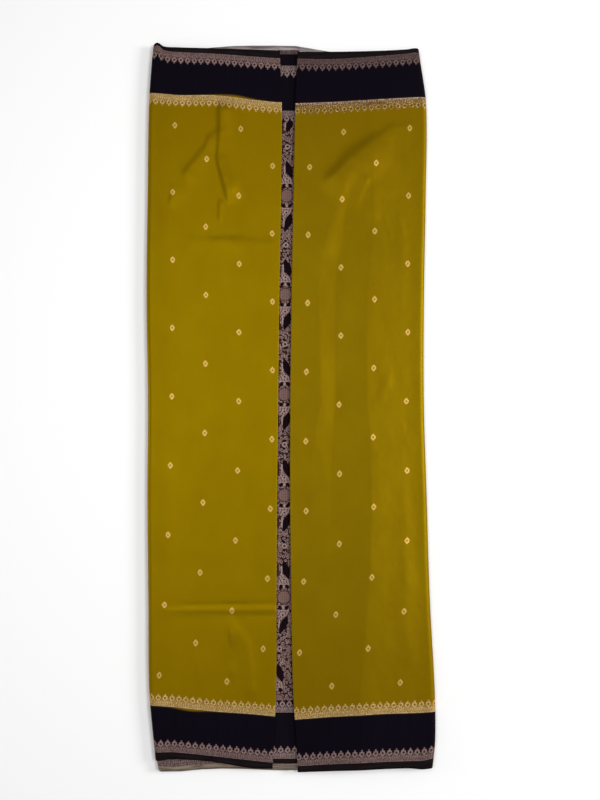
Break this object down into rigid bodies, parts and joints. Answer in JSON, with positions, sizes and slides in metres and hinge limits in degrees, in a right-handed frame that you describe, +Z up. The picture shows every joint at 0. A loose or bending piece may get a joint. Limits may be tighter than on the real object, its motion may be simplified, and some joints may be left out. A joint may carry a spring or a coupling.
{
  "type": "folded saree",
  "caption": "Uncut silk saree folded flat into a long slab, its two sides turned over to meet near the middle.",
  "frame": {"origin": "on the surface that the folded saree lies on, under the middle of its box", "axes": "+Y along the fold from one selvedge to the other, +X across the two flaps, +Z up"},
  "size_m": [0.4597, 1.1667, 0.0131],
  "materials": {
    "field_silk": "soft silk crepe with woven gold motifs and dark borders",
    "pallu_brocade": "dense silver-rose brocade on a dark ground",
    "inner_layers": "edges of the folded silk layers"
  },
  "bodies": {
    "root": {"left_flap": "field_silk", "right_flap": "field_silk", "underside": "field_silk", "pallu": "pallu_brocade", "hidden_layers": "inner_layers"}
  },
  "joints": []
}
